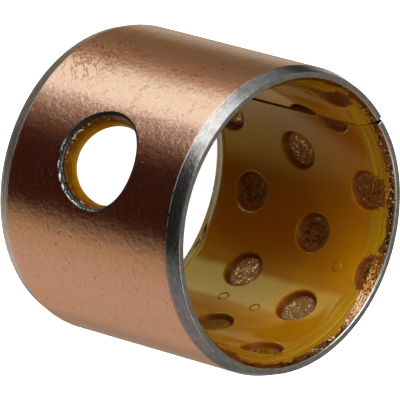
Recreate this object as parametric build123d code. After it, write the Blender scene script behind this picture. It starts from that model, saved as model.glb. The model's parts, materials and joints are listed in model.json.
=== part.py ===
from build123d import *

import os
from math import ceil, cos, degrees, pi, radians, sin, tan

# A plain bushing rolled from three-layer strip, split along one straight seam.
#
# The strip is a steel back, a thin porous bronze layer and an acetal lining.  It is worked flat:
# round grease pockets are pressed through the lining in slanting, staggered rows, and one oil
# hole is punched through all three layers.  Then it is rolled up.  The steel is the stiff layer,
# so the strip keeps its length at the middle of the steel: a circle of the flat strip keeps its
# height along the bush, and its width becomes the angle that this width takes there.
#
# Frame: Z is the axis of the bush, z = 0 is its lower end, and the oil hole faces -Y.
# Lengths are in millimetres.  Angles are in degrees and run from +X towards +Y.

# ---- Driving dimensions -------------------------------------------------------------------------

OUTSIDE_DIAMETER = 15.0
BORE_DIAMETER = 13.0
LENGTH = 12.4

LINING_THICKNESS = 0.26
BRONZE_THICKNESS = 0.22

OUTER_CHAMFER_LENGTH = 0.70       # along the axis
OUTER_CHAMFER_DEPTH = 0.20        # into the wall
INNER_CHAMFER_LENGTH = 1.00
INNER_CHAMFER_DEPTH = 0.53

SEAM_ANGLE = 149.1
SEAM_GAP = 0.08

OIL_HOLE_ANGLE = -90.0
OIL_HOLE_DIAMETER = 4.76          # through steel and bronze, in the flat strip
LINING_HOLE_INSET = 0.14          # the lining stands this far into the hole, all round

POCKET_DIAMETER = 2.18            # in the flat strip
POCKET_PITCH = 4.758              # between pockets, along a row
POCKET_ROW_SPACING = 3.751        # between rows, square to them
POCKET_ROW_STAGGER = 2.474        # each row starts this much further along than the last
POCKET_ROW_LEAN = 15.62           # angle between the rows and the axis of the bush
FIRST_POCKET_ANGLE = 102.8
FIRST_POCKET_HEIGHT = 3.135
SMALLEST_POCKET_BITE = 0.15       # a pocket that would cut an edge by less is left out

CUT_ALLOWANCE = 1.0               # every cutter runs on past the bush by this much

# ---- Derived sizes ------------------------------------------------------------------------------

OUTSIDE_RADIUS = OUTSIDE_DIAMETER / 2
BORE_RADIUS = BORE_DIAMETER / 2
LINING_RADIUS = BORE_RADIUS + LINING_THICKNESS          # where lining and bronze meet
BRONZE_RADIUS = LINING_RADIUS + BRONZE_THICKNESS        # where bronze and steel meet
ROLLING_RADIUS = (OUTSIDE_RADIUS + BRONZE_RADIUS) / 2   # the fibre that keeps its length
CUT_RADIUS = OUTSIDE_RADIUS + CUT_ALLOWANCE
CUT_LENGTH = LENGTH + 2 * CUT_ALLOWANCE


def rolled_angle(strip_length):
    """Angle that a length of flat strip takes round the bush."""
    return degrees(strip_length / ROLLING_RADIUS)


# ---- The wall and its layers --------------------------------------------------------------------

def bush_wall():
    """The whole wall: a tube with a long shallow chamfer outside and a deeper one inside."""
    land_inner = BORE_RADIUS + INNER_CHAMFER_DEPTH
    land_outer = OUTSIDE_RADIUS - OUTER_CHAMFER_DEPTH
    section = Polyline(
        (BORE_RADIUS, INNER_CHAMFER_LENGTH),
        (land_inner, 0),
        (land_outer, 0),
        (OUTSIDE_RADIUS, OUTER_CHAMFER_LENGTH),
        (OUTSIDE_RADIUS, LENGTH - OUTER_CHAMFER_LENGTH),
        (land_outer, LENGTH),
        (land_inner, LENGTH),
        (BORE_RADIUS, LENGTH - INNER_CHAMFER_LENGTH),
        close=True,
    )
    return revolve(Plane.XZ * make_face(section), Axis.Z)


def sleeve(inner_radius, outer_radius):
    """A plain tube that runs past both ends and takes one layer out of the wall."""
    ring = Circle(outer_radius) - Circle(inner_radius)
    return extrude(Pos(0, 0, -CUT_ALLOWANCE) * ring, CUT_LENGTH)


# ---- The seam and the oil hole ------------------------------------------------------------------

def seam_slit():
    """The gap between the two ends of the strip."""
    slit = Box(CUT_RADIUS, SEAM_GAP, CUT_LENGTH, align=(Align.MIN, Align.CENTER, Align.MIN))
    return Rot(0, 0, SEAM_ANGLE) * Pos(0, 0, -CUT_ALLOWANCE) * slit


def rolled_disc(diameter, angle, height, inner_radius, outer_radius):
    """A disc cut out of the flat strip, as it lies in the rolled wall.

    Its sides aim at the axis, since rolling stretches the outer face of the wall and squeezes
    the inner one.  Its width grows with the distance from the axis, and its height stays.
    """
    spread = tan(radians(rolled_angle(diameter / 2)))
    outlines = []
    for distance in (inner_radius, outer_radius):
        plane = Plane(origin=(distance, 0, height), x_dir=(0, 1, 0), z_dir=(1, 0, 0))
        outlines.append(plane * Ellipse(distance * spread, diameter / 2))
    return Rot(0, 0, angle) * loft(outlines, ruled=True)


def oil_hole(diameter):
    """The punched hole, half way along the bush."""
    return rolled_disc(diameter, OIL_HOLE_ANGLE, LENGTH / 2, BORE_RADIUS / 2, CUT_RADIUS)


# ---- Grease pockets -----------------------------------------------------------------------------

def pocket_places():
    """Angle and height of every pocket on the strip.

    The strip starts at the seam and ends there one turn later, and so do these angles.
    """
    reach = POCKET_DIAMETER / 2 - SMALLEST_POCKET_BITE
    strip_start = SEAM_ANGLE - 360 - rolled_angle(reach)
    strip_end = SEAM_ANGLE + rolled_angle(reach)
    lining_edge = INNER_CHAMFER_LENGTH * (1 - LINING_THICKNESS / INNER_CHAMFER_DEPTH)
    lowest = lining_edge - reach
    highest = LENGTH - lining_edge + reach
    row_direction = radians(90 + POCKET_ROW_LEAN)
    count = ceil((2 * pi * ROLLING_RADIUS + LENGTH) / min(POCKET_PITCH, POCKET_ROW_SPACING))
    places = []
    for row in range(-count, count + 1):
        for step in range(-count, count + 1):
            along = step * POCKET_PITCH + row * POCKET_ROW_STAGGER
            across = row * POCKET_ROW_SPACING
            strip_x = along * cos(row_direction) - across * sin(row_direction)
            strip_z = along * sin(row_direction) + across * cos(row_direction)
            angle = FIRST_POCKET_ANGLE + rolled_angle(strip_x)
            height = FIRST_POCKET_HEIGHT + strip_z
            if strip_start < angle < strip_end and lowest < height < highest:
                places.append((angle, height))
    return places


def seam_side(side):
    """Everything on one side of the seam: +1 where the strip starts, -1 where it ends."""
    half = Box(2 * CUT_RADIUS, CUT_RADIUS, CUT_LENGTH, align=(Align.CENTER, Align.MIN, Align.MIN))
    turn = 0 if side > 0 else 180
    return Rot(0, 0, SEAM_ANGLE + turn) * Pos(0, 0, -CUT_ALLOWANCE) * half


def pocket(angle, height):
    """One pocket, pressed through the lining down to the bronze.

    A pocket that runs off an end of the strip marks that end alone, and stops at the seam.
    """
    cutter = rolled_disc(POCKET_DIAMETER, angle, height, BORE_RADIUS / 2, CUT_RADIUS)
    half_width = rolled_angle(POCKET_DIAMETER / 2)
    if angle + half_width > SEAM_ANGLE:
        cutter = cutter & seam_side(-1)
    if angle - half_width < SEAM_ANGLE - 360:
        cutter = cutter & seam_side(1)
    return cutter


# ---- The three layers ---------------------------------------------------------------------------

def layer(inner_radius, outer_radius, hole_diameter):
    """One layer of the rolled strip, with its seam and its oil hole."""
    tube = bush_wall() & sleeve(inner_radius, outer_radius)
    return tube - seam_slit() - oil_hole(hole_diameter)


def steel_backing():
    return layer(BRONZE_RADIUS, CUT_RADIUS, OIL_HOLE_DIAMETER)


def bronze_interlayer():
    return layer(LINING_RADIUS, BRONZE_RADIUS, OIL_HOLE_DIAMETER)


def acetal_lining():
    lining = layer(BORE_RADIUS / 2, LINING_RADIUS, OIL_HOLE_DIAMETER - 2 * LINING_HOLE_INSET)
    return lining - [pocket(angle, height) for angle, height in pocket_places()]


# ---- Output -------------------------------------------------------------------------------------

nodes = {
    "steel_backing": steel_backing(),
    "bronze_interlayer": bronze_interlayer(),
    "acetal_lining": acetal_lining(),
}

os.makedirs("parts", exist_ok=True)
for name, solid in nodes.items():
    export_step(solid, f"parts/{name}.step")
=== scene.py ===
# %% [markdown]
# # A rolled plain bushing
#
# The real bush starts as a flat strip of steel with a thin layer of sintered bronze and a lining
# of amber acetal.  Pockets for grease are pressed into the lining, an oil hole is punched, and
# the blank is rolled up until its two ends meet in a straight seam.  This script builds the
# visible surfaces in the same order: each layer is modelled flat, punched flat, and rolled last.
# Working flat keeps every shape simple, because a hole is a plain circle there.

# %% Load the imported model
import json
from math import cos, pi, radians, sin

import bmesh
import bpy
import numpy as np
from mathutils import Matrix, Vector


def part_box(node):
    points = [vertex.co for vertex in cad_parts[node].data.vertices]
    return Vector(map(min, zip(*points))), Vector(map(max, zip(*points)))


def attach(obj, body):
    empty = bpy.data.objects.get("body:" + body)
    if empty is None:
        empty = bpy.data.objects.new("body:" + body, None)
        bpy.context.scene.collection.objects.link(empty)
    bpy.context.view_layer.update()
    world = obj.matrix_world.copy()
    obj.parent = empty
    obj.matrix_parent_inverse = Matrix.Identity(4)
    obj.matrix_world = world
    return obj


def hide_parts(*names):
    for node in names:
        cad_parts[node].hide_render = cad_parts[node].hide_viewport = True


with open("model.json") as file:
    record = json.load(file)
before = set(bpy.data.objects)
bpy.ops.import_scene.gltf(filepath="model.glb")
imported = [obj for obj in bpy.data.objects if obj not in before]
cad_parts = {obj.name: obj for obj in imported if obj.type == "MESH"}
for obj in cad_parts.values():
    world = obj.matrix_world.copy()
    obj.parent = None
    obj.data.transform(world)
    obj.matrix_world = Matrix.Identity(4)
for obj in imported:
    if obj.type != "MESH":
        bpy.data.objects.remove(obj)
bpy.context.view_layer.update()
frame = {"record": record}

# %% [markdown]
# ## Sizes
#
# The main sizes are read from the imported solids, so the surfaces always fit them.  Everything
# below is in millimetres until a mesh is made, because the details of a 15 mm bush are easier
# to read as 0.08 mm than as 0.00008 m.

# %% Sizes of the bush
MM = 0.001


def layer_radius(node):
    """Outer radius of a layer: half the width of its box, in millimetres."""
    low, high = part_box(node)
    return (high.x - low.x) / 2 / MM


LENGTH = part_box("steel_backing")[1].z / MM
OUTSIDE = round(layer_radius("steel_backing"), 2)
BRONZE_OUT = round(layer_radius("bronze_interlayer"), 2)
LINING_OUT = round(layer_radius("acetal_lining"), 2)
BORE = frame["record"]["mounts"][0]["dims"]["r_mm"]

# The strip keeps its length in the middle of the steel, and its ends stop short of each other.
ROLLING = (OUTSIDE + BRONZE_OUT) / 2
SEAM_ANGLE = radians(149.1)
SEAM_GAP = 0.08
STRIP = 2 * pi * ROLLING - SEAM_GAP

# Each chamfer has a length along the axis, z, and a depth along the radius, r.
CHAMFER_Z, CHAMFER_R = 0.72, 0.205
INNER_Z, INNER_R = 1.00, 0.53

print("radii", BORE, LINING_OUT, BRONZE_OUT, OUTSIDE)
print("length", round(LENGTH, 3), "strip", round(STRIP, 2))

# %% [markdown]
# ## Meshes from tables of points
#
# A point of the flat strip has a place along it, x, a height, z, and a distance from the axis
# once rolled, r.  A shape is a table of such points, worked out for all of them at once.  Every
# shape here is a closed tube, either a bar along the strip or a punch standing on it, so one
# rule for the faces serves all of them.

# %% Helpers for meshes


def closed_faces(rows, columns):
    """Faces of a closed tube: quads between neighbours, and a cap on its first and last row.

    Point j of row i has the number i * columns + j, and the last point of a row joins its first.
    """
    i, j = np.meshgrid(np.arange(rows - 1), np.arange(columns), indexing="ij")
    k = (j + 1) % columns
    corners = [i * columns + j, i * columns + k, (i + 1) * columns + k, (i + 1) * columns + j]
    first = list(range(columns))
    last = [(rows - 1) * columns + number for number in first]
    return np.stack(corners, -1).reshape(-1, 4).tolist() + [first[::-1], last]


def make_object(name, points, faces):
    """A mesh object from a table of points and the faces between them."""
    mesh = bpy.data.meshes.new(name)
    mesh.from_pydata(points.reshape(-1, 3).tolist(), [], faces)
    mesh.validate()
    piece = bpy.data.objects.new(name, mesh)
    bpy.context.scene.collection.objects.link(piece)
    return piece


def outwards(piece):
    """Turns every face of a closed mesh to point outwards."""
    shape = bmesh.new()
    shape.from_mesh(piece.data)
    bmesh.ops.recalc_face_normals(shape, faces=shape.faces)
    shape.to_mesh(piece.data)
    shape.free()


# %% [markdown]
# ## The blank
#
# A layer starts as a flat bar: its section, a closed outline of (z, r) points, is carried from
# one end of the strip to the other.  The outline's corners are softened by a few hundredths of a
# millimetre, because a perfectly sharp edge never catches the light, and its long sides get more
# points, because they have to bend later.

# %% Helpers for the blank
END_ZONE = 0.5


def soften(section, radius, steps=4):
    """Rounds each corner of a closed section: the corner point becomes a short quadratic curve.

    The curve from a to b with the corner c as its control is (1-t)^2 a + 2t(1-t) c + t^2 b.  The
    points a and b lie on the two sides, one radius from the corner or 0.4 of a shorter side.
    """
    section = np.asarray(section, float)
    starts = []
    for step in (1, -1):
        side = np.roll(section, step, 0) - section
        length = np.linalg.norm(side, axis=1)[:, None]
        starts.append(section + side / length * np.minimum(radius, 0.4 * length))
    a, b = starts
    t = np.linspace(0, 1, steps)[None, :, None]
    curve = (1 - t) ** 2 * a[:, None] + 2 * t * (1 - t) * section[:, None] + t ** 2 * b[:, None]
    return curve.reshape(-1, 2)


def refine(section, spacing):
    """Adds evenly spaced points on every side of a closed section longer than the spacing."""
    pieces = []
    for start, end in zip(section, np.roll(section, -1, 0)):
        count = max(1, int(np.ceil(np.linalg.norm(end - start) / spacing)))
        t = np.arange(count)[:, None] / count
        pieces.append(start + (end - start) * t)
    return np.concatenate(pieces)


def drawn_out(depth, reach, closing):
    """How far an end is drawn out: reach + closing * depth^6, depth from 0 inside to 1 outside."""
    return reach + closing * depth ** 6


def strip_blank(name, section, spacing=0.3, end_round=0.05, reach=0.0, closing=0.0):
    """A closed flat bar: the section (z, r) carried along x from one end of the strip to the other.

    At distance e from an end the section is clipped by round - sqrt(round^2 - (round - e)^2) on
    every side, so the edges of the two ends are quarter circles.  Over the last END_ZONE the bar
    is drawn out in step with the distance, up to drawn_out at the very end, so that the gap can
    be wide on the inside and shut on the outside.
    """
    curve = end_round * (1 - np.cos(np.linspace(0, pi / 2, 5)))
    middle = np.linspace(end_round, STRIP - end_round, int(STRIP / spacing))
    x = np.concatenate([curve[:-1], middle, STRIP - curve[-2::-1]])
    from_end = np.minimum(x, STRIP - x)
    inside_round = end_round - np.minimum(from_end, end_round)
    clip = (end_round - np.sqrt(end_round ** 2 - inside_round ** 2))[:, None, None]
    points = np.zeros((len(x), len(section), 3))
    points[:, :, 0] = x[:, None]
    points[:, :, 1:] = np.clip(section[None], section.min(0) + clip, section.max(0) - clip)
    near_end = 1 - np.minimum(from_end / END_ZONE, 1)
    depth = (points[:, :, 2] - section[:, 1].min()) / np.ptp(section[:, 1])
    sense = np.sign(x - STRIP / 2)
    points[:, :, 0] += (sense * near_end)[:, None] * drawn_out(depth, reach, closing)
    return make_object(name, points, closed_faces(len(x), len(section)))


# %% [markdown]
# ## Punches
#
# Holes and pockets are cut with a boolean, since that is what a press does to the real strip.  A
# punch is a profile turned about its own axis, and it stands a little past both faces of the
# strip, because a boolean is only safe where no two faces lie together.

# %% Helpers for punching
OVERCUT = 0.5


def punch(centre, profile, around=72, stretch=1.0):
    """A round punch standing on the strip: profile rows are (radius, r), turned about its centre.

    Point = centre + radius * (cos a, stretch * sin a) at depth r, for a once round.
    """
    turn = np.linspace(0, 2 * pi, around, endpoint=False)
    profile = np.asarray(profile, float)
    points = np.zeros((len(profile), around, 3))
    points[:, :, 0] = centre[0] + profile[:, :1] * np.cos(turn)
    points[:, :, 1] = centre[1] + stretch * profile[:, :1] * np.sin(turn)
    points[:, :, 2] = profile[:, 1:]
    return points.reshape(-1, 3), closed_faces(len(profile), around)


def flared(radius, start, end, lip, steps=9):
    """Profile of a punch whose hole has a rounded edge of size lip at depth start.

    On the lip, radius = hole + lip (1 - sin a) and depth = start -/+ lip (1 - cos a): a quarter
    circle that leaves the face flat and runs into the wall of the hole.
    """
    sense = 1 if end > start else -1
    a = np.linspace(0, pi / 2, steps)
    quarter = np.stack([radius + lip * (1 - np.sin(a)), start + sense * lip * (1 - np.cos(a))], 1)
    above = [[radius + lip, start - sense * OVERCUT]]
    below = [[radius, end + sense * OVERCUT]]
    return np.concatenate([above, quarter, below])


def cut(piece, punches):
    """Takes all the punches out of the flat piece with one exact boolean."""
    tables, offset, faces = [], 0, []
    for points, own_faces in punches:
        tables.append(points)
        faces += [[v + offset for v in face] for face in own_faces]
        offset += len(points)
    cutter = make_object("punches", np.concatenate(tables), faces)
    for body in (piece, cutter):
        outwards(body)
    modifier = piece.modifiers.new("cut", "BOOLEAN")
    modifier.object = cutter
    modifier.operation = "DIFFERENCE"
    modifier.solver = "EXACT"
    evaluated = piece.evaluated_get(bpy.context.evaluated_depsgraph_get())
    shaped = bpy.data.meshes.new_from_object(evaluated)
    piece.modifiers.clear()
    piece.data = shaped
    bpy.data.objects.remove(cutter)


# %% [markdown]
# ## Rolling
#
# The flat mesh is rolled by moving its points alone: x becomes an angle and r a radius.  The
# flat places stay on the mesh as an attribute named flat, which the finishes use later.  One end
# of the real strip stands a little inside the other, so the last few millimetres bend in.

# %% Helpers for rolling
SEAM_STEP = 0.08
SEAM_BEND = 3.0
MERGE = 0.0005


def roll(piece, crease=12):
    """Rolls a flat piece: angle = seam + (x + half the gap) / rolling radius, and z stays.

    The point becomes (r cos angle, r sin angle, z), in metres.  Over the last SEAM_BEND of the
    strip r shrinks by SEAM_STEP (1 - distance / SEAM_BEND)^2.  Polygons are cut into triangles
    first, while they are flat, and edges sharper than crease degrees stay sharp.
    """
    shape = bmesh.new()
    shape.from_mesh(piece.data)
    bmesh.ops.remove_doubles(shape, verts=shape.verts, dist=MERGE)
    bmesh.ops.triangulate(shape, faces=[f for f in shape.faces if len(f.verts) > 4])
    shape.to_mesh(piece.data)
    shape.free()
    flat = np.zeros(len(piece.data.vertices) * 3)
    piece.data.vertices.foreach_get("co", flat)
    x, z, r = flat.reshape(-1, 3).T
    layout = piece.data.attributes.new("flat", "FLOAT_VECTOR", "POINT")
    layout.data.foreach_set("vector", flat)
    angle = SEAM_ANGLE + (x + SEAM_GAP / 2) / ROLLING
    r = r - SEAM_STEP * np.clip(1 - (STRIP - x) / SEAM_BEND, 0, 1) ** 2
    rolled = np.stack([r * np.cos(angle), r * np.sin(angle), z], 1) * MM
    piece.data.vertices.foreach_set("co", rolled.ravel())
    piece.data.shade_smooth()
    piece.data.set_sharp_from_angle(angle=radians(crease))
    outwards(piece)
    piece.data.update()
    print(piece.name, "triangles", sum(len(p.vertices) - 2 for p in piece.data.polygons))


def strip_place(angle_degrees):
    """Place along the flat strip of an angle round the bush."""
    turn = (radians(angle_degrees) - SEAM_ANGLE) % (2 * pi)
    return turn * ROLLING - SEAM_GAP / 2


print("the oil hole is", round(strip_place(-90), 2), "mm along the strip")

# %% [markdown]
# ## The steel back
#
# Its section is a bar with a long shallow chamfer along both outer edges, and its inner corners
# follow the cone that is turned inside both mouths.  The oil hole is punched from outside, a
# little longer than wide, and the deburring leaves its rim rounded.

# %% Steel back
HOLE_RADIUS = 2.27
HOLE_PLACE = (strip_place(-90), LENGTH / 2)
HOLE_LIP = 0.14
HOLE_STRETCH = 1.045
HOLE_SIDES = 96
STEEL_ENDS = {"reach": -0.04, "closing": 0.077}


def inner_cone(radius):
    """Height of the inner chamfer at a radius: it falls evenly from bore to end face."""
    return INNER_Z * (1 - (radius - BORE) / INNER_R)


def mirrored(lower_half):
    """A closed section from its lower half, mirrored about the middle of the bush's length."""
    upper_half = [(LENGTH - z, r) for z, r in reversed(lower_half)]
    return np.array(lower_half + upper_half)


steel_section = mirrored([
    (inner_cone(BRONZE_OUT), BRONZE_OUT),
    (0.0, BORE + INNER_R),
    (0.0, OUTSIDE - CHAMFER_R),
    (CHAMFER_Z, OUTSIDE),
])
steel_section = refine(soften(steel_section, radius=0.05), spacing=0.3)
steel = strip_blank("steel_back", steel_section, end_round=0.07, **STEEL_ENDS)
steel_hole = flared(HOLE_RADIUS, OUTSIDE, BRONZE_OUT, HOLE_LIP)
cut(steel, [punch(HOLE_PLACE, steel_hole, HOLE_SIDES, HOLE_STRETCH)])
roll(steel)

# %% [markdown]
# ## The bronze layer
#
# Sintered bronze shows in three places: as a ring on the inner chamfers, as a line in the wall
# of the oil hole, and as the floor of every pocket.  It is a plain bar with slanting ends.

# %% Bronze layer
bronze_section = mirrored([
    (inner_cone(LINING_OUT), LINING_OUT),
    (inner_cone(BRONZE_OUT), BRONZE_OUT),
])
bronze_section = refine(bronze_section, spacing=0.3)
bronze = strip_blank("bronze_layer", bronze_section, end_round=0.03, reach=0.04)
bronze_hole = [(HOLE_RADIUS, LINING_OUT - OVERCUT), (HOLE_RADIUS, BRONZE_OUT + OVERCUT)]
cut(bronze, [punch(HOLE_PLACE, bronze_hole, HOLE_SIDES)])
roll(bronze)

# %% [markdown]
# ## Where the pockets lie
#
# The pockets lie on a slanted lattice: each row leans a little from the axis, and each next row
# starts further along.  A pocket that runs off an edge of the lining is simply cut by it, as on
# the real blank, but one that would only graze an edge is left out.

# %% Places of the pockets
POCKET_RADIUS = 1.09
ROW_LEAN = radians(90 + 15.62)
PITCH = 4.758
ROW_SPACING = 3.751
ROW_STAGGER = 2.474
FIRST_POCKET = (strip_place(102.8), 3.135)
LATTICE = np.arange(-16, 17)
LEAST_CUT = 0.15


def pocket_places():
    """Centres on the strip: first pocket + a shift along a leaning row + row spacings across it."""
    along = np.array([cos(ROW_LEAN), sin(ROW_LEAN)])
    across = np.array([-sin(ROW_LEAN), cos(ROW_LEAN)])
    row, place = (table[..., None] for table in np.meshgrid(LATTICE, LATTICE, indexing="ij"))
    shift = place * PITCH + row * ROW_STAGGER
    centres = np.array(FIRST_POCKET) + shift * along + row * ROW_SPACING * across
    x, z = centres.reshape(-1, 2).T
    reach = POCKET_RADIUS - LEAST_CUT
    edge = inner_cone(LINING_OUT)
    on_strip = (x > -reach) & (x < STRIP + reach)
    on_height = (z > edge - reach) & (z < LENGTH - edge + reach)
    return centres.reshape(-1, 2)[on_strip & on_height]


pockets = pocket_places()
hole_distance = np.linalg.norm(pockets - np.array(HOLE_PLACE), axis=1)
pockets = pockets[hole_distance > HOLE_RADIUS - POCKET_RADIUS]
print("pockets", len(pockets))

# %% [markdown]
# ## The acetal lining
#
# The lining is soft, so no edge of it is exact: the turning tool leaves two fine ridges where the
# chamfer meets the bore, a pocket's rim rolls over, and its wall slopes in to a smaller floor.
# At the oil hole the lining stands a little further in than the steel.

# %% Lining
POCKET_FLOOR = 0.92
POCKET_LIP = 0.07
EDGE_BURR = 0.02
HOLE_OVERHANG = 0.11
LINING_LIP = 0.05


def dished(rim, floor, steps=12):
    """Profile of a pressed pocket: a rounded rim, then a wall that slopes in to a smaller floor.

    With t from 0 at the bore to 1 at the bronze, radius = floor + (rim - floor) (1 - t^1.3) plus
    the rounding lip (1 - t/0.2)^2 for t below 0.2.
    """
    t = np.linspace(0, 1, steps)
    rounding = POCKET_LIP * np.maximum(0, 1 - t / 0.2) ** 2
    radius = floor + (rim - floor) * (1 - t ** 1.3) + rounding
    wall = np.stack([radius, BORE + t * (LINING_OUT - BORE)], 1)
    return np.concatenate([[[radius[0], BORE - OVERCUT]], wall, [[floor, LINING_OUT + OVERCUT]]])


lining_section = mirrored([
    (INNER_Z + 0.16, BORE),
    (INNER_Z + 0.10, BORE - EDGE_BURR),
    (INNER_Z + 0.04, BORE + 0.005),
    (INNER_Z - 0.02, BORE - EDGE_BURR / 2),
    (inner_cone(LINING_OUT), LINING_OUT),
])
lining_section = refine(soften(lining_section, radius=0.04), spacing=0.25)
lining = strip_blank("acetal_lining_surface", lining_section, spacing=0.25, end_round=0.06,
                     reach=0.04)
lining_hole = flared(HOLE_RADIUS - HOLE_OVERHANG, BORE, LINING_OUT, LINING_LIP)
pocket = dished(POCKET_RADIUS, POCKET_FLOOR)
cut(lining, [punch(centre, pocket) for centre in pockets]
    + [punch(HOLE_PLACE, lining_hole, HOLE_SIDES)])
roll(lining)

# %% [markdown]
# ## Building a finish from nodes
#
# Nodes are long to write out in code, so three helpers do the repeated work: one opens a
# material, one adds a node with its settings and inputs, and one feeds the shader.  A value that
# is the same all over goes on the shader's own socket.

# %% Helpers for nodes


def new_material(name):
    """An empty node material, its node tree and its Principled shader."""
    material = bpy.data.materials.new(name)
    material.use_nodes = True
    tree = material.node_tree
    return material, tree, tree.nodes["Principled BSDF"]


def add(kind, settings=None, inputs=None, tree=None):
    """Adds a node, with its settings by name and its inputs by name or position.

    An input is a plain value or another node's output, which is then linked.  The node goes into
    the tree of its linked inputs, so only a node that has none is told its tree.
    """
    inputs = inputs or {}
    linked = [key for key, value in inputs.items() if isinstance(value, bpy.types.NodeSocket)]
    if tree is None:
        tree = inputs[linked[0]].id_data
    node = tree.nodes.new("ShaderNode" + kind)
    for key, value in (settings or {}).items():
        setattr(node, key, value)
    for key, value in inputs.items():
        if key in linked:
            tree.links.new(value, node.inputs[key])
        else:
            node.inputs[key].default_value = value
    return node


def feed(shader, **inputs):
    """Sets or links inputs of the shader; Base_Color stands for Base Color."""
    for key, value in inputs.items():
        socket = shader.inputs[key.replace("_", " ")]
        if isinstance(value, bpy.types.NodeSocket):
            shader.id_data.links.new(value, socket)
        elif isinstance(value, tuple) and len(value) == 3:
            socket.default_value = (*value, 1.0)
        else:
            socket.default_value = value


# %% [markdown]
# ## Arithmetic on patterns
#
# A finish is mostly shares between 0 and 1: how worn, how deep, how smeared.  These helpers add,
# multiply and shape shares and turn them into colours, so that a finish reads as a list of what
# happened to the surface.

# %% Helpers for shares and colours


def math(operation, *values):
    """One Math node: the result of operation on its values."""
    return add("Math", {"operation": operation}, dict(enumerate(values))).outputs[0]


def times(first, second):
    """first * second."""
    return math("MULTIPLY", first, second)


def larger(first, second):
    """The larger of two values."""
    return math("MAXIMUM", first, second)


def plus(base, pattern, weight):
    """base + weight * pattern."""
    return math("ADD", base, times(pattern, weight))


def rest(share):
    """1 - share."""
    return math("SUBTRACT", 1.0, share)


def wander(base, noise_pattern, span):
    """base moved up and down by noise: base + span * (noise - 0.5)."""
    return plus(base, math("SUBTRACT", noise_pattern, 0.5), span)


def off(value, middle):
    """Distance of a value from a middle one, on either side: |value - middle|."""
    return math("ABSOLUTE", math("SUBTRACT", value, middle))


def from_ends(value, length):
    """Distance from the nearer end of a span from 0 to length: length/2 - |value - length/2|."""
    return math("SUBTRACT", length / 2, off(value, length / 2))


def rescale(value, old, new=(0.0, 1.0)):
    """Straight-line change of a value from the range old to the range new, held at both ends."""
    limits = {"Value": value, "From Min": old[0], "From Max": old[1],
              "To Min": new[0], "To Max": new[1]}
    return add("MapRange", None, limits).outputs[0]


def between(value, low, high):
    """0 below low, 1 above high, and a smooth S curve between them; low may be above high."""
    limits = {"Value": value, "From Min": low, "From Max": high}
    return add("MapRange", {"interpolation_type": "SMOOTHSTEP"}, limits).outputs[0]


def blend(share, first, second):
    """Colour first where share is 0 and second where it is 1."""
    colours = [(*colour, 1) if isinstance(colour, tuple) else colour for colour in (first, second)]
    inputs = {0: share, 6: colours[0], 7: colours[1]}
    return add("Mix", {"data_type": "RGBA"}, inputs).outputs[2]


def ramp(value, stops):
    """A colour ramp from (position, colour) stops."""
    node = add("ValToRGB", None, {0: value})
    elements = node.color_ramp.elements
    elements.remove(elements[-1])
    elements[0].position, elements[0].color = stops[0][0], (*stops[0][1], 1)
    for position, colour in stops[1:]:
        elements.new(position).color = (*colour, 1)
    return node.outputs[0]


# %% [markdown]
# ## Patterns on the strip
#
# The patterns are laid out on the flat strip, like the pockets: every rolled piece carries the
# attribute flat, the place of each point before rolling, in millimetres.  A scratch that follows
# the rolling direction is then a straight line, and a stain is a round patch of the strip.

# %% Helpers for patterns
FADE = 0.3  # a patch is full up to this share of its reach


def flat_place(tree):
    """Place on the flat strip: the vector, and x along it, z across it and r from the axis."""
    vector = add("Attribute", {"attribute_name": "flat"}, tree=tree).outputs["Vector"]
    axes = add("SeparateXYZ", None, {0: vector}).outputs
    return vector, axes[0], axes[1], axes[2]


def noise(vector, waves, detail=3.0, roughness=0.5):
    """Noise with waves per millimetre: one number, or one for along, across and through."""
    waves = waves if isinstance(waves, tuple) else (waves,) * 3
    scaled = add("VectorMath", {"operation": "MULTIPLY"}, {0: vector, 1: waves}).outputs[0]
    inputs = {"Vector": scaled, "Scale": 1.0, "Detail": detail, "Roughness": roughness}
    return add("TexNoise", None, inputs).outputs[0]


def relief(*layers):
    """Bumps one over another, from (pattern, height): a pattern's 1 is height mm over its 0."""
    normal = None
    for pattern, height in layers:
        inputs = {"Height": pattern, "Strength": 1.0, "Distance": height * MM}
        if normal is not None:
            inputs["Normal"] = normal
        normal = add("Bump", None, inputs).outputs[0]
    return normal


def patch(angle_degrees, height, reach):
    """A round patch of the strip: its middle (x, z) and its reach, all in millimetres."""
    return strip_place(angle_degrees), height, reach


def away(x, z, place):
    """Distance on the strip from a place: sqrt((x - place x)^2 + (z - place z)^2)."""
    across = math("POWER", math("SUBTRACT", x, place[0]), 2.0)
    up = math("POWER", math("SUBTRACT", z, place[1]), 2.0)
    return math("SQRT", math("ADD", across, up))


def spot(x, z, *patches):
    """1 around the middle of any of the patches, falling smoothly to 0 at the patch's reach."""
    share = None
    for place_x, place_z, reach in patches:
        own = between(away(x, z, (place_x, place_z)), reach, reach * FADE)
        share = own if share is None else larger(share, own)
    return share


def pocket_distance(tree):
    """Distance on the strip from the middle of the nearest pocket, from the attribute to_pocket."""
    return add("Attribute", {"attribute_name": "to_pocket"}, tree=tree).outputs["Fac"]


# %% [markdown]
# ## Copper plating
#
# The outside of the bush is plated with a thin coat of copper so that it won't rust.  It is a
# dull plating: the reflections are soft, the colour is a little patchy, and under a lamp the coat
# shows fine grain, pits and a few scuffs from the tools that rolled it.  Each is noise of its own
# size, because one noise alone looks like cloud and not like metal.

# %% Copper plating
COPPER = (0.605, 0.398, 0.330)
DARK_COPPER = (0.43, 0.205, 0.115)
LEAST_WORN, MORE_WORN = 0.14, 0.60
WORN = [patch(-140, 6.2, 8.0), patch(-110, 4.6, 2.6)]
SCUFFED = patch(-132, 2.2, 2.6)
SCUFF_SLANT = radians(-52)


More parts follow.
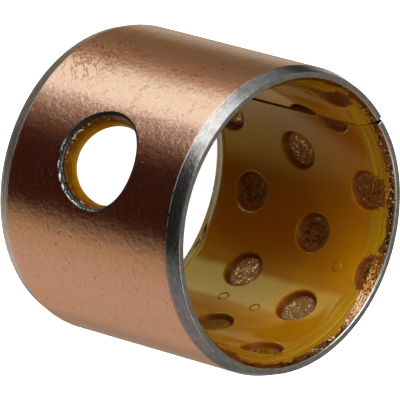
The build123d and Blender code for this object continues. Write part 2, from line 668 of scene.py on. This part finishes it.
def thin_strokes(vector):
    """1 along the lines where long noise, turned to SCUFF_SLANT, crosses its middle value."""
    settings, inputs = {"rotation_type": "Z_AXIS"}, {"Vector": vector, "Angle": SCUFF_SLANT}
    slanted = add("VectorRotate", settings, inputs).outputs[0]
    from_middle = off(noise(slanted, (1.1, 3.2, 1.0), 2.0), 0.5)
    return between(from_middle, 0.045, 0.008)


def copper_plating():
    """Metal with noise of several sizes: dark spots where it is worn, pits, and thin scuffs.

    The stain that darkens it is the larger of spots and pits, plus some scuffs, grain and blobs.
    """
    material, tree, shader = new_material("copper plating")
    vector, x, z, _ = flat_place(tree)
    waves = noise(vector, 0.7, 3.0)
    blobs = noise(vector, 3.2, 3.0, 0.6)
    grain = noise(vector, 10.0, 2.0, 0.6)
    patches = noise(vector, 2.2, 4.0, 0.7)
    scuffs = times(thin_strokes(vector), spot(x, z, SCUFFED))
    worn = plus(LEAST_WORN, spot(x, z, *WORN), MORE_WORN)
    spots = times(between(patches, 0.55, 0.68), worn)
    pits = between(noise(vector, 3.4, 1.0), 0.70, 0.76)
    stain = larger(spots, times(pits, 0.55))
    stain = plus(stain, scuffs, 0.85)
    stain = plus(stain, between(grain, 0.45, 0.75), 0.35)
    stain = plus(stain, between(blobs, 0.46, 0.64), 0.08)
    normal = relief((waves, 0.02), (blobs, 0.015), (grain, 0.0032), (pits, -0.004),
                    (scuffs, -0.007))
    feed(shader, Metallic=1.0, Base_Color=blend(stain, COPPER, DARK_COPPER),
         Roughness=rescale(grain, (0.3, 0.7), (0.14, 0.24)), Normal=normal)
    return material


# %% [markdown]
# ## Turned steel
#
# The chamfers and the end faces are turned after plating, so bare steel shows there, with fine
# rings from the tool.  The tool stops a little short of the outer edge in places, so a thin line
# of copper is left on the chamfer.  A bright rim along the chamfer's outer edge and a bright line
# at the steel's inner edge are painted highlights, and one side of the far end is painted darker
# as shade.

# %% Turned steel
STEEL = (0.47, 0.46, 0.45)
DULL_STEEL = (0.33, 0.32, 0.31)
HIGHLIGHT_STEEL = (0.85, 0.83, 0.80)
INNER_EDGE_HIGHLIGHT = (0.85, 0.82, 0.78)
SHADED_STEEL = (0.20, 0.165, 0.135)
RIM_HIGHLIGHT_START = CHAMFER_Z - 0.035
PLATING_START = CHAMFER_Z + 0.03
RIM_HIGHLIGHT_PLACE, RIM_HIGHLIGHT_REACH = strip_place(-100), 6.5
SHADED_FAR_END = patch(-148, 0.0, 7.0)
LEFT_COPPER = patch(-30, LENGTH, 8.0)


def turned_steel():
    """Bright metal with rings: noise that is long around the bush and fine across it."""
    material, tree, shader = new_material("turned steel")
    vector, x, z, r = flat_place(tree)
    rings = noise(vector, (0.12, 22.0, 22.0), 2.0)
    marks = noise(vector, (3.0, 6.0, 6.0), 3.0, 0.6)
    from_end = from_ends(z, LENGTH)
    # Painted highlight: a bright band on the chamfer's outer edge, in patches, on one side of the
    # bush.
    rim = times(between(from_end, RIM_HIGHLIGHT_START, RIM_HIGHLIGHT_START + 0.03), between(marks, 0.35, 0.5))
    rim = times(rim, between(off(x, RIM_HIGHLIGHT_PLACE), RIM_HIGHLIGHT_REACH, RIM_HIGHLIGHT_REACH * FADE))
    # Painted highlight: a bright line along the steel's inner edge.
    inner_edge_highlight = between(r, BRONZE_OUT + 0.06, BRONZE_OUT + 0.03)
    near_edge = between(from_end, CHAMFER_Z - 0.09, CHAMFER_Z - 0.05)
    tone = blend(between(marks, 0.35, 0.7), DULL_STEEL, STEEL)
    tone = blend(rim, tone, HIGHLIGHT_STEEL)
    tone = blend(inner_edge_highlight, tone, INNER_EDGE_HIGHLIGHT)
    # Painted shade: one side of the far end's chamfer is darker.
    tone = blend(spot(x, z, SHADED_FAR_END), tone, SHADED_STEEL)
    tone = blend(times(near_edge, spot(x, z, LEFT_COPPER)), tone, COPPER)
    feed(shader, Metallic=1.0, Base_Color=tone, Roughness=rescale(rim, (0.0, 1.0), (0.22, 0.55)),
         Normal=relief((rings, 0.006), (marks, 0.012)))
    return material


# %% [markdown]
# ## Bronze balls
#
# The bronze layer is made of small balls, about 0.08 mm across, fused together.  They are far too
# many to model, so Voronoi cells stand for them: each cell has its own tone and a round top.
# They show on the chamfers, on the floors of the pockets and in the oil hole.

# %% Helper for bronze balls
BALLS_PER_MM = 12.0


def bronze_balls(vector):
    """Voronoi cells: the tone of each ball, and its height, 1 - distance from its middle."""
    inputs = {"Vector": vector, "Scale": BALLS_PER_MM, "Randomness": 1.0}
    balls = add("TexVoronoi", {"feature": "F1"}, inputs)
    tone = add("SeparateColor", None, {0: balls.outputs["Color"]}).outputs[0]
    return tone, rest(balls.outputs["Distance"])


# %% [markdown]
# ## The wall of the oil hole
#
# The punch first cuts the steel and then tears it.  The wall is painted nearly black as shade,
# since little light gets into the hole, and a broken burr below its rim on one side is painted
# bright as the highlight it catches.  Its deeper part is covered with bronze that the punch has
# dragged along.  Colour ramps over the depth say what shows where.

# %% Punched steel
# Painted shade: near-black steel where little light reaches into the hole.
SHADED_TORN_STEEL = (0.025, 0.025, 0.03)
# Painted highlights: a bright burr and a paler line below the rim on the lit side.
BURR_HIGHLIGHT = (0.80, 0.80, 0.85)
SCRAPED_HIGHLIGHT = (0.38, 0.38, 0.38)
PLAIN_WALL = [(0.14, SHADED_TORN_STEEL), (0.30, (0.05, 0.026, 0.012)), (0.46, (0.10, 0.032, 0.005)),
              (1.0, (0.13, 0.046, 0.005))]
LIT_BURRED_WALL = [(0.03, BURR_HIGHLIGHT), (0.06, SHADED_TORN_STEEL), (0.20, SHADED_TORN_STEEL), (0.26, SCRAPED_HIGHLIGHT), (0.34, SCRAPED_HIGHLIGHT),
               (0.40, SHADED_TORN_STEEL), (0.48, (0.05, 0.03, 0.015)), (0.60, (0.09, 0.028, 0.004)),
               (1.0, (0.12, 0.042, 0.005))]
DRAGGED_BALLS = [(0.0, (0.04, 0.010, 0.001)), (0.70, (0.10, 0.032, 0.003)),
                 (0.93, (0.16, 0.06, 0.01)), (1.0, (0.60, 0.46, 0.30))]
BURRED_LIT_SIDE = (HOLE_PLACE[0] + 1.6, HOLE_PLACE[1] - 1.7, 3.2)


def punched_steel():
    """Wall of the oil hole: torn steel painted dark as shade, a broken burr painted bright as a
    highlight on one side, and dragged bronze below.

    The depth goes from 0 at the outside to 1 at the bronze, and wanders by 0.1 mm either way.
    The drag starts 0.22 deeper on the burred side.
    """
    material, tree, shader = new_material("punched steel")
    vector, x, z, r = flat_place(tree)
    torn = noise(vector, (6.0, 6.0, 2.0), 3.0, 0.6)
    chips = noise(vector, (2.2, 2.2, 5.0), 3.0, 0.7)
    depth = rescale(wander(r, torn, 0.20), (OUTSIDE, BRONZE_OUT))
    burred_lit_side = spot(x, z, BURRED_LIT_SIDE)
    burred_highlights = times(between(chips, 0.38, 0.50), burred_lit_side)
    wall = blend(burred_highlights, ramp(depth, PLAIN_WALL), ramp(depth, LIT_BURRED_WALL))
    dragged = between(plus(depth, burred_lit_side, -0.22), 0.34, 0.42)
    bronze_tone = ramp(bronze_balls(vector)[0], DRAGGED_BALLS)
    feed(shader, Metallic=plus(0.85, dragged, -0.65), Roughness=0.36,
         Base_Color=blend(dragged, wall, bronze_tone), Normal=relief((torn, 0.05)))
    return material


# %% [markdown]
# ## The cut ends
#
# The two ends of the strip face each other across the seam.  The gap is so narrow that hardly any
# light gets in, so the rough sheared steel there is painted nearly black as shade.

# %% Cut ends
SEAM_SHADE_BLACK = (0.010, 0.010, 0.010)
SEAM_SHADE_GREY = (0.035, 0.030, 0.028)


def shaded_cut_end():
    """Rough metal painted nearly black as the seam's shade, with noise that is long from bore to
    outside.
    """
    material, tree, shader = new_material("cut end")
    torn = noise(flat_place(tree)[0], (1.0, 9.0, 3.0), 3.0, 0.6)
    feed(shader, Metallic=1.0, Base_Color=blend(torn, SEAM_SHADE_BLACK, SEAM_SHADE_GREY), Roughness=0.7,
         Normal=relief((torn, 0.03)))
    return material


# %% [markdown]
# ## Sintered bronze
#
# The lining's plastic is pressed into the gaps between the balls, so the darkest of them are
# plastic here.  On the chamfers the turning tool smears the lining over the bronze, up to a
# ragged edge, and leaves the bronze bare in one place, where it is painted bright as the highlight
# it catches.  The smear is painted darker as shade in two broad patches.  In the oil hole, plastic
# is drawn down over the line of bronze.

# %% Sintered bronze
AMBER = (0.245, 0.097, 0.001)
YELLOW = (0.14, 0.058, 0.001)
SHADED_YELLOW = (0.09, 0.033, 0.001)
DARK_PLASTIC = (0.05, 0.008, 0.003)
HIGHLIGHT_BRONZE = (0.78, 0.38, 0.19)
SHADED_BRONZE = (0.022, 0.014, 0.005)
DRAWN_DARK = (0.05, 0.016, 0.002)
BALL_TONES = [(0.0, (0.02, 0.005, 0.001)), (0.58, (0.07, 0.024, 0.006)),
              (0.80, (0.20, 0.09, 0.035)), (0.92, (0.66, 0.39, 0.22)), (1.0, (1.0, 0.74, 0.52))]
POCKET_TONES = [(0.0, (0.08, 0.018, 0.001)), (0.45, (0.19, 0.055, 0.003)),
                (0.80, (0.36, 0.13, 0.014)), (1.0, (0.80, 0.45, 0.16))]
DRAWN_PLASTIC = [(0.0, (0.16, 0.058, 0.002)), (BRONZE_OUT - LINING_OUT, (0.10, 0.030, 0.002))]
SMEAR_RADIUS = 6.84
WIPED_HIGHLIGHT = patch(73, LENGTH, 2.3)
SHADED = patch(16, LENGTH, 5.0)
DEEP_SHADE_PLACES = [patch(99, 4.8, 7.2), patch(134, 8.0, 7.0)]


def drawn_plastic(r, patches):
    """Plastic in the wall of the oil hole: darker with depth, and darker still in patches."""
    drawn = ramp(math("SUBTRACT", r, LINING_OUT), DRAWN_PLASTIC)
    return blend(times(between(patches, 0.42, 0.58), 0.7), drawn, DRAWN_DARK)


def sintered_bronze():
    """Metal balls, under smeared plastic inside SMEAR_RADIUS and under drawn plastic in the hole.

    The smear's edge wanders by 0.21 mm either way.  What plastic covers isn't metal, and the
    balls under it hardly stand out.
    """
    material, tree, shader = new_material("sintered bronze")
    vector, x, z, r = flat_place(tree)
    tone, rounds = bronze_balls(vector)
    patches = noise(vector, (1.6, 3.0, 1.0), 3.0)
    # Painted highlight: bare bronze in one place, brighter and with more glints, where it catches
    # light.
    wiped_highlight = spot(x, z, WIPED_HIGHLIGHT)
    tone = plus(tone, wiped_highlight, 0.30)
    chamfer = blend(times(wiped_highlight, 0.55), ramp(tone, BALL_TONES), HIGHLIGHT_BRONZE)
    chamfer = blend(times(spot(x, z, SHADED), 0.7), chamfer, SHADED_BRONZE)
    outside = between(pocket_distance(tree), POCKET_RADIUS - 0.10, POCKET_RADIUS + 0.05)
    colour = blend(outside, ramp(tone, POCKET_TONES), chamfer)
    edge = plus(wander(r, patches, 0.42), wiped_highlight, 0.05)
    smeared = times(between(edge, SMEAR_RADIUS + 0.02, SMEAR_RADIUS - 0.01), outside)
    dark = times(between(patches, 0.50, 0.56), rest(wiped_highlight))
    # Painted shade: the smeared plastic is darker in two broad patches.
    film = blend(spot(x, z, *DEEP_SHADE_PLACES), YELLOW, SHADED_YELLOW)
    colour = blend(smeared, blend(dark, colour, DARK_PLASTIC), film)
    in_hole = between(away(x, z, HOLE_PLACE), HOLE_RADIUS + 0.12, HOLE_RADIUS + 0.06)
    colour = blend(in_hole, colour, drawn_plastic(r, patches))
    covered = larger(larger(smeared, dark), in_hole)
    metal = times(between(tone, 0.15, 0.35), rest(covered))
    height = times(rounds, plus(1.0, larger(smeared, in_hole), -0.8))
    feed(shader, Metallic=metal, Base_Color=colour, Roughness=0.32, IOR=1.5,
         Specular_IOR_Level=0.65, Specular_Tint=(1.0, 0.88, 0.10), Normal=relief((height, 0.022)))
    return material


# %% [markdown]
# ## The floors of the pockets
#
# The pocket tool presses the plastic away almost down to the bronze, so the balls show through a
# thin red-brown film, and metal glints only where a ball stands high.  A dark ring of painted
# shade lies round the foot of the wall, one patch of floors is painted pale as the reflection it
# shows, and another is painted golden where light falls on it.

# %% Pocket floor
FLOOR_TONES = [(0.0, (0.10, 0.020, 0.002)), (0.45, (0.12, 0.034, 0.004)),
               (0.75, (0.20, 0.10, 0.024)), (0.92, (0.32, 0.19, 0.08)), (1.0, (0.62, 0.48, 0.33))]
LIT_OLIVE = (0.28, 0.15, 0.004)
PAINTED_REFLECTION = (0.32, 0.24, 0.13)
FOOT_SHADE = (0.085, 0.018, 0.001)
LIT_FLOOR = patch(24, 8.5, 5.0)
REFLECTED_PATCH = patch(57, 9.6, 4.0)


def pocket_floor():
    """Bronze balls under a red-brown film, with mottled tones, painted shade round the foot, and
    painted light in two patches.
    """
    material, tree, shader = new_material("pocket floor")
    vector, x, z, _ = flat_place(tree)
    tone, rounds = bronze_balls(vector)
    tone = wander(tone, noise(vector, 2.2, 3.0, 0.6), 0.7)
    # Painted reflection: a pale grey sheen and more sparkle on the floors in one patch.
    reflected_patch = spot(x, z, REFLECTED_PATCH)
    tone = plus(tone, reflected_patch, 0.08)
    # Painted shade: a dark ring round the foot of the wall.
    foot_shade = between(pocket_distance(tree), 0.62, 0.98)
    # Painted light: floors in one patch are golden where light falls on them.
    lit_olive = times(spot(x, z, LIT_FLOOR), 0.5)
    colour = blend(lit_olive, ramp(tone, FLOOR_TONES), LIT_OLIVE)
    colour = blend(times(reflected_patch, 0.12), colour, PAINTED_REFLECTION)
    colour = blend(foot_shade, colour, FOOT_SHADE)
    metal = times(between(tone, 0.30, 0.60), rest(foot_shade))
    feed(shader, Metallic=metal, Base_Color=colour, Roughness=0.34, IOR=1.5,
         Specular_IOR_Level=0.2, Specular_Tint=(1.0, 0.78, 0.28), Normal=relief((rounds, 0.006)))
    return material


# %% [markdown]
# ## Amber acetal
#
# The lining is a clear brown plastic on dark bronze.  Where it is thick and lit through, as in
# the oil hole, a yellow glow is painted into its colour, and two broad patches of it are painted
# darker as shade.  The bore is smooth, with a few small blemishes, and the chamfer keeps the fine
# scratches of the tool.  Light that enters the plastic comes back yellow, which a yellow tint of
# the reflections stands for.

# %% Amber acetal
DULL_AMBER = (0.205, 0.074, 0.001)
SHADED_AMBER = (0.15, 0.040, 0.001)
SCRATCHED = (0.26, 0.125, 0.012)
GLOW = (0.30, 0.130, 0.003)
DEEP_GLOW = (0.17, 0.062, 0.002)
SEAM_AMBER = (0.17, 0.055, 0.002)
HOLE_GLOW = (*HOLE_PLACE, 4.0)
DULLED = patch(122, 8.0, 7.0)
BLEMISHES = [(51.8, 6.93), (53.3, 4.62), (81.5, 10.0)]


def blemish(x, z, angle, height):
    """A small flat-topped dot, 0.33 mm in radius, at an angle and a height of the bush."""
    return between(away(x, z, (strip_place(angle), height)), 0.33, 0.20)


def amber_acetal():
    """Clear plastic: cloudy amber in the bore, yellow on the chamfers, a painted glow at the oil
    hole, and painted shade in two patches.

    The distance from the ends tells bore from chamfer, and the same along x finds the seam's
    edges, which wander by 0.06 mm either way.
    """
    material, tree, shader = new_material("amber acetal")
    vector, x, z, r = flat_place(tree)
    cloud = noise(vector, (0.35, 0.5, 0.5), 4.0, 0.6)
    scratches = noise(vector, (0.15, 20.0, 20.0), 3.0, 0.7)
    waves = noise(vector, (0.35, 0.4, 0.4), 2.0)
    # Painted shade: two broad patches of the bore and chamfers are darker.
    deep_shade = spot(x, z, *DEEP_SHADE_PLACES)
    from_end = from_ends(z, LENGTH)
    in_bore = between(from_end, INNER_Z - 0.05, INNER_Z + 0.05)
    on_chamfer = between(from_end, INNER_Z + 0.25, INNER_Z - 0.05)

    bore = blend(between(cloud, 0.3, 0.7), AMBER, DULL_AMBER)
    bore = blend(deep_shade, bore, SHADED_AMBER)
    chamfer = blend(deep_shade, YELLOW, SHADED_YELLOW)
    chamfer = blend(between(scratches, 0.52, 0.66), chamfer, SCRATCHED)
    # Painted glow: light shining through the plastic at the oil hole, painted yellow and fading
    # deeper in.
    glow = blend(between(r, BORE + 0.04, LINING_OUT), GLOW, DEEP_GLOW)
    near_hole = between(spot(x, z, HOLE_GLOW), 0.1, 0.9)
    colour = blend(near_hole, blend(in_bore, chamfer, bore), glow)
    from_seam = wander(from_ends(x, STRIP), noise(vector, (0.5, 1.5, 1.0), 2.0), 0.12)
    colour = blend(between(from_seam, 0.09, 0.04), colour, SEAM_AMBER)

    cut_marks = times(scratches, plus(0.05, on_chamfer, 0.95))
    dots = [(blemish(x, z, angle, height), 0.07) for angle, height in BLEMISHES]
    roughness = rescale(on_chamfer, (0.0, 1.0), (0.05, 0.16))
    roughness = plus(roughness, spot(x, z, DULLED), 0.20)
    feed(shader, Base_Color=colour, Roughness=roughness, IOR=1.5, Specular_IOR_Level=0.70,
         Specular_Tint=(1.0, 0.87, 0.06),
         Normal=relief((cut_marks, 0.028), (waves, 0.018), *dots))
    return material


# %% [markdown]
# ## The walls of the pockets
#
# The same plastic is pressed thin over bronze in the wall of a pocket, and the bronze behind it
# shows more and more with depth.  Its colour sinks from rust at the rim to dark brown at the
# floor, partly from that and partly as painted shade, with streaks where the pocket tool slid
# along it.

# %% Pocket wall
WALL_TONES_AND_SHADE = [(0.0, (0.24, 0.078, 0.002)), (0.22, (0.12, 0.030, 0.002)),
              (0.60, (0.07, 0.015, 0.001))]


def pocket_wall():
    """A ramp over the depth of the wall, which streaks of noise move by 0.04 mm either way."""
    material, tree, shader = new_material("pocket wall")
    vector, _, _, r = flat_place(tree)
    streaks = noise(vector, (5.0, 5.0, 1.5), 3.0, 0.6)
    # Darker with depth: partly the bronze showing through, partly painted shade.
    colour = ramp(rescale(wander(r, streaks, 0.08), (BORE, LINING_OUT)), WALL_TONES_AND_SHADE)
    feed(shader, Base_Color=colour, Roughness=0.35, IOR=1.5, Specular_IOR_Level=0.2,
         Specular_Tint=(1.0, 0.8, 0.3), Normal=relief((streaks, 0.02)))
    return material


# %% [markdown]
# ## Distance to the nearest pocket
#
# The film on the pockets' floors needs to know where the pockets are.  The distance is worked
# out for all the bronze's points and stored on the mesh, since a shader can't search.

# %% Attribute to_pocket


def flat_points(piece):
    """Places of a rolled piece's points on the flat strip, as a table of x, z and r."""
    flat = np.zeros(len(piece.data.vertices) * 3)
    piece.data.attributes["flat"].data.foreach_get("vector", flat)
    return flat.reshape(-1, 3)


def nearest_pocket(x, z):
    """Distance of places on the strip from the middle of the nearest pocket."""
    return np.hypot(x[:, None] - pockets[:, 0], z[:, None] - pockets[:, 1]).min(1)


x, z, _ = flat_points(bronze).T
distance = nearest_pocket(x, z)
to_pocket = bronze.data.attributes.new("to_pocket", "FLOAT", "POINT")
to_pocket.data.foreach_set("value", distance.astype(np.float32))
print("bronze points on the pockets' floors", int((distance < POCKET_FLOOR).sum()))

# %% [markdown]
# ## Materials and bodies
#
# Each surface piece stands for one imported solid: it gets its materials and rides on the bush's
# one body, and the solid is hidden.

# %% Dress the pieces


def dress(piece, node, slot, *materials):
    """Gives a piece its materials and its body, and hides the imported solid; the slot is not used.
    """
    for material in materials:
        piece.data.materials.append(material)
    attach(piece, "root")
    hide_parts(node)
    print(piece.name, [(each.name, len(each.node_tree.nodes)) for each in materials])


dress(steel, "steel_backing", "plated_steel", turned_steel(), copper_plating(), punched_steel(),
      shaded_cut_end())
dress(bronze, "bronze_interlayer", "sintered_bronze", sintered_bronze(), pocket_floor())
dress(lining, "acetal_lining", "acetal", amber_acetal(), pocket_wall())

# %% [markdown]
# ## Which face has which finish
#
# One rolled piece shows several finishes, so every face is given one by its place on the flat
# strip: how deep it lies, and how near an edge, the oil hole or a pocket.  A border between faces
# is as sharp as the machined edge that it stands for, which a blend would not be.

# %% Faces of the steel
TURNED, PLATED, PUNCHED, CUT = range(4)
PLATING_DEPTH = 0.13


def face_places(piece):
    """Middles of the faces on the flat strip: the sum of a face's corners over their number."""
    mesh = piece.data
    starts = np.zeros(len(mesh.polygons), np.int32)
    mesh.polygons.foreach_get("loop_start", starts)
    corners = np.zeros(len(mesh.loops), np.int32)
    mesh.loops.foreach_get("vertex_index", corners)
    sums = np.add.reduceat(flat_points(piece)[corners], starts)
    counts = np.diff(np.append(starts, len(corners)))
    return sums / counts[:, None]


def set_materials(piece, choice):
    """Gives each face the number of its material."""
    piece.data.polygons.foreach_set("material_index", choice.astype(np.int32))


x, z, r = face_places(steel).T
from_end = LENGTH / 2 - abs(z - LENGTH / 2)
plated = (r > OUTSIDE - PLATING_DEPTH) & (from_end > PLATING_START)
to_hole = np.hypot(x - HOLE_PLACE[0], (z - HOLE_PLACE[1]) / HOLE_STRETCH)
in_hole = (to_hole < HOLE_RADIUS + HOLE_LIP - 0.01) & (r > BRONZE_OUT + 0.002)
depth = (r - BRONZE_OUT) / (OUTSIDE - BRONZE_OUT)
end_place = np.sign(x - STRIP / 2) * drawn_out(depth, **STEEL_ENDS)
at_cut = STRIP / 2 - abs(x - end_place - STRIP / 2) < 0.002
set_materials(steel, np.select([at_cut, in_hole, plated], [CUT, PUNCHED, PLATED], TURNED))
print("faces plated", int(plated.sum()), "in the hole", int(in_hole.sum()),
      "on the cut ends", int(at_cut.sum()))

# %% Faces of the bronze and the lining
# A pocket's floor is bronze at the lining's outer radius, and its wall is lining below the bore.
x, z, r = face_places(bronze).T
on_floor = (nearest_pocket(x, z) < POCKET_RADIUS + 0.10) & (r < LINING_OUT + 0.001)
on_floor &= abs(z - LENGTH / 2) < LENGTH / 2 - inner_cone(LINING_OUT)
set_materials(bronze, on_floor)

x, z, r = face_places(lining).T
in_wall = (nearest_pocket(x, z) < POCKET_RADIUS + 0.05) & (r > BORE + 0.012)
set_materials(lining, in_wall)
print("faces on the pockets' floors", int(on_floor.sum()), "in their walls", int(in_wall.sum()))

# %% [markdown]
# ## The studio
#
# A metal bush shows mostly its surroundings, so they matter as much as its own finish: soft
# boxes, dark cards and a pale table, standing round it as the panels of five rings, one above
# another.  The gap between two panels is a smooth change from one to the other.

# %% World
RING_START = 94


def panel_ring(turn, panels):
    """Colour round the horizon from panels (from, to, colour), in degrees from RING_START up."""
    stops = []
    for start, end, colour in panels:
        colour = colour if isinstance(colour, tuple) else (colour,) * 3
        stops += [((start - RING_START) / 360, colour), ((end - RING_START) / 360, colour)]
    return ramp(turn, stops)


# The low ring has warm boxes and a white one, and the table under it is paler beyond the bush.
LOW_RING = [
    (94, 106, (0.46, 0.377, 0.252)), (115, 116, (0.63, 0.565, 0.455)),
    (126, 128, (0.51, 0.412, 0.305)), (140, 158, (0.26, 0.169, 0.075)),
    (166, 176, (0.35, 0.218, 0.112)), (184, 188, (0.76, 0.555, 0.336)),
    (193, 221, (1.50, 1.636, 1.399)), (227, 236, (0.37, 0.250, 0.135)),
    (244, 249, (0.17, 0.060, 0.022)), (258, 309, (0.05, 0.008, 0.000)),
    (331, 338, (0.72, 0.530, 0.312)), (347, 375, (0.78, 0.615, 0.448)),
    (390, 405, (0.72, 0.516, 0.345)), (416, 436, (0.445, 0.318, 0.232)),
    (449, 454, (0.46, 0.377, 0.252))]
TABLE_RING = [
    (94, 124, (0.84, 0.76, 0.52)), (142, 176, (0.40, 0.35, 0.29)), (192, 225, (0.24, 0.22, 0.21)),
    (240, 310, (0.13, 0.13, 0.12)), (325, 340, (0.22, 0.21, 0.20)), (375, 405, (0.92, 0.74, 0.60)),
    (424, 454, (0.90, 0.86, 0.70))]
# The rings above have large white boxes, and dark cards round the camera.
MIDDLE_RING = [
    (94, 122, 0.58), (138, 150, 0.02), (158, 162, 0.22), (168, 176, 0.34), (183, 195, 0.45),
    (203, 208, 1.45), (216, 238, 2.15), (246, 248, 0.22), (256, 312, 0.01), (323, 332, 0.28),
    (348, 385, (0.37, 0.32, 0.31)), (405, 420, 0.18), (440, 454, 0.50)]
HIGH_RING = [(94, 196, 0.25), (208, 250, 2.0), (258, 330, 0.12), (345, 454, 0.25)]
TOP_RING = [(94, 180, (0.31, 0.29, 0.255)), (198, 232, 2.2), (246, 312, 0.25), (332, 365, 1.2),
            (390, 454, (0.31, 0.29, 0.24))]

# Where each ring takes over from the one before, as the upward share of the direction.
RINGS = [(-0.76, -0.88, TABLE_RING), (-0.66, -0.60, MIDDLE_RING), (-0.12, -0.02, HIGH_RING),
         (0.20, 0.36, TOP_RING)]

world = bpy.data.worlds.new("studio")
bpy.context.scene.world = world
world.use_nodes = True
tree = world.node_tree
direction = add("TexCoord", tree=tree).outputs["Generated"]
axes = add("SeparateXYZ", None, {0: direction}).outputs
azimuth = math("DIVIDE", math("ARCTAN2", axes[1], axes[0]), 2 * pi)
turn = math("FRACT", math("ADD", azimuth, 1 - RING_START / 360))
colour = panel_ring(turn, LOW_RING)
for start, full, panels in RINGS:
    share = between(axes[2], start, full)
    colour = blend(share, colour, panel_ring(turn, panels))
tree.links.new(colour, tree.nodes["Background"].inputs[0])
print("rings of panels", 1 + len(RINGS))

# %% [markdown]
# ## The floor
#
# The bush stands on a plain white table that glows a little, so it stays white whatever the
# lamps do.  Only the camera sees it, because the table that the bush reflects is a ring of
# panels already.

# %% Floor
TABLE_SIDE = 4
TABLE_GLOW = 0.93

corners = np.array([[-1, -1, 0], [1, -1, 0], [1, 1, 0], [-1, 1, 0]]) * TABLE_SIDE / 2
floor = make_object("floor", corners, [[0, 1, 2, 3]])
paper, tree, shader = new_material("white table")
feed(shader, Base_Color=(0.8, 0.8, 0.8), Roughness=1.0)
glow = add("Emission", None, {"Strength": TABLE_GLOW}, tree=tree)
both = add("AddShader", None, {0: shader.outputs[0], 1: glow.outputs[0]})
tree.links.new(both.outputs[0], tree.nodes["Material Output"].inputs[0])
floor.data.materials.append(paper)
floor.visible_diffuse = floor.visible_glossy = False
floor.visible_transmission = floor.visible_shadow = False
print("floor", TABLE_SIDE, "m square")

# %% [markdown]
# ## The camera
#
# A long lens keeps the two mouths of the bush almost the same size.  The bush stands upright in
# its own frame, and the camera is rolled until it seems to lie.  The camera's right and down are
# given, and the way it looks follows from them.

# %% Camera
CAMERA_PLACE = Vector((19.654, -288.676, 287.637)) * MM
RIGHT = Vector((-0.30882, 0.65313, 0.69141))
DOWN = Vector((0.94988, 0.24890, 0.18915))
LENS = 761.2

camera = bpy.data.objects.new("camera", bpy.data.cameras.new("camera"))
bpy.context.scene.collection.objects.link(camera)
columns = (RIGHT, -DOWN, -RIGHT.cross(DOWN), CAMERA_PLACE)
camera.matrix_world = Matrix([[column[row] for column in columns] for row in range(3)]
                             + [[0, 0, 0, 1]])
camera.data.lens = LENS
camera.data.clip_start = 0.01
bpy.context.scene.camera = camera
bpy.context.scene.view_settings.view_transform = "Standard"
print("camera", round(CAMERA_PLACE.length, 3), "m from the bush")

# %% [markdown]
# ## The lamps
#
# Three soft boxes light the dull surfaces.  They leave no mirror image, because the panels
# already say what a shiny surface shows.

# %% Lights
LAMP_TINT = (0.95, 1.0, 0.9)
LAMPS = [
    ("key", 3.2, 0.5, (-0.38, -0.12, 0.34)),
    ("fill", 1.6, 0.25, (0.02, -0.40, 0.17)),
    ("side", 0.7, 0.25, (0.26, 0.14, 0.34)),
]


def soft_box(name, energy, size, place):
    """A square area lamp that looks at the origin: energy in watts, size and place in metres."""
    light = bpy.data.lights.new(name, "AREA")
    light.energy = energy
    light.color = LAMP_TINT
    light.size = size
    lamp = bpy.data.objects.new(name, light)
    bpy.context.scene.collection.objects.link(lamp)
    lamp.location = place
    lamp.rotation_euler = (-Vector(place)).to_track_quat("-Z", "Y").to_euler()
    lamp.visible_glossy = False


for lamp in LAMPS:
    soft_box(*lamp)
print("lamps", len(LAMPS))
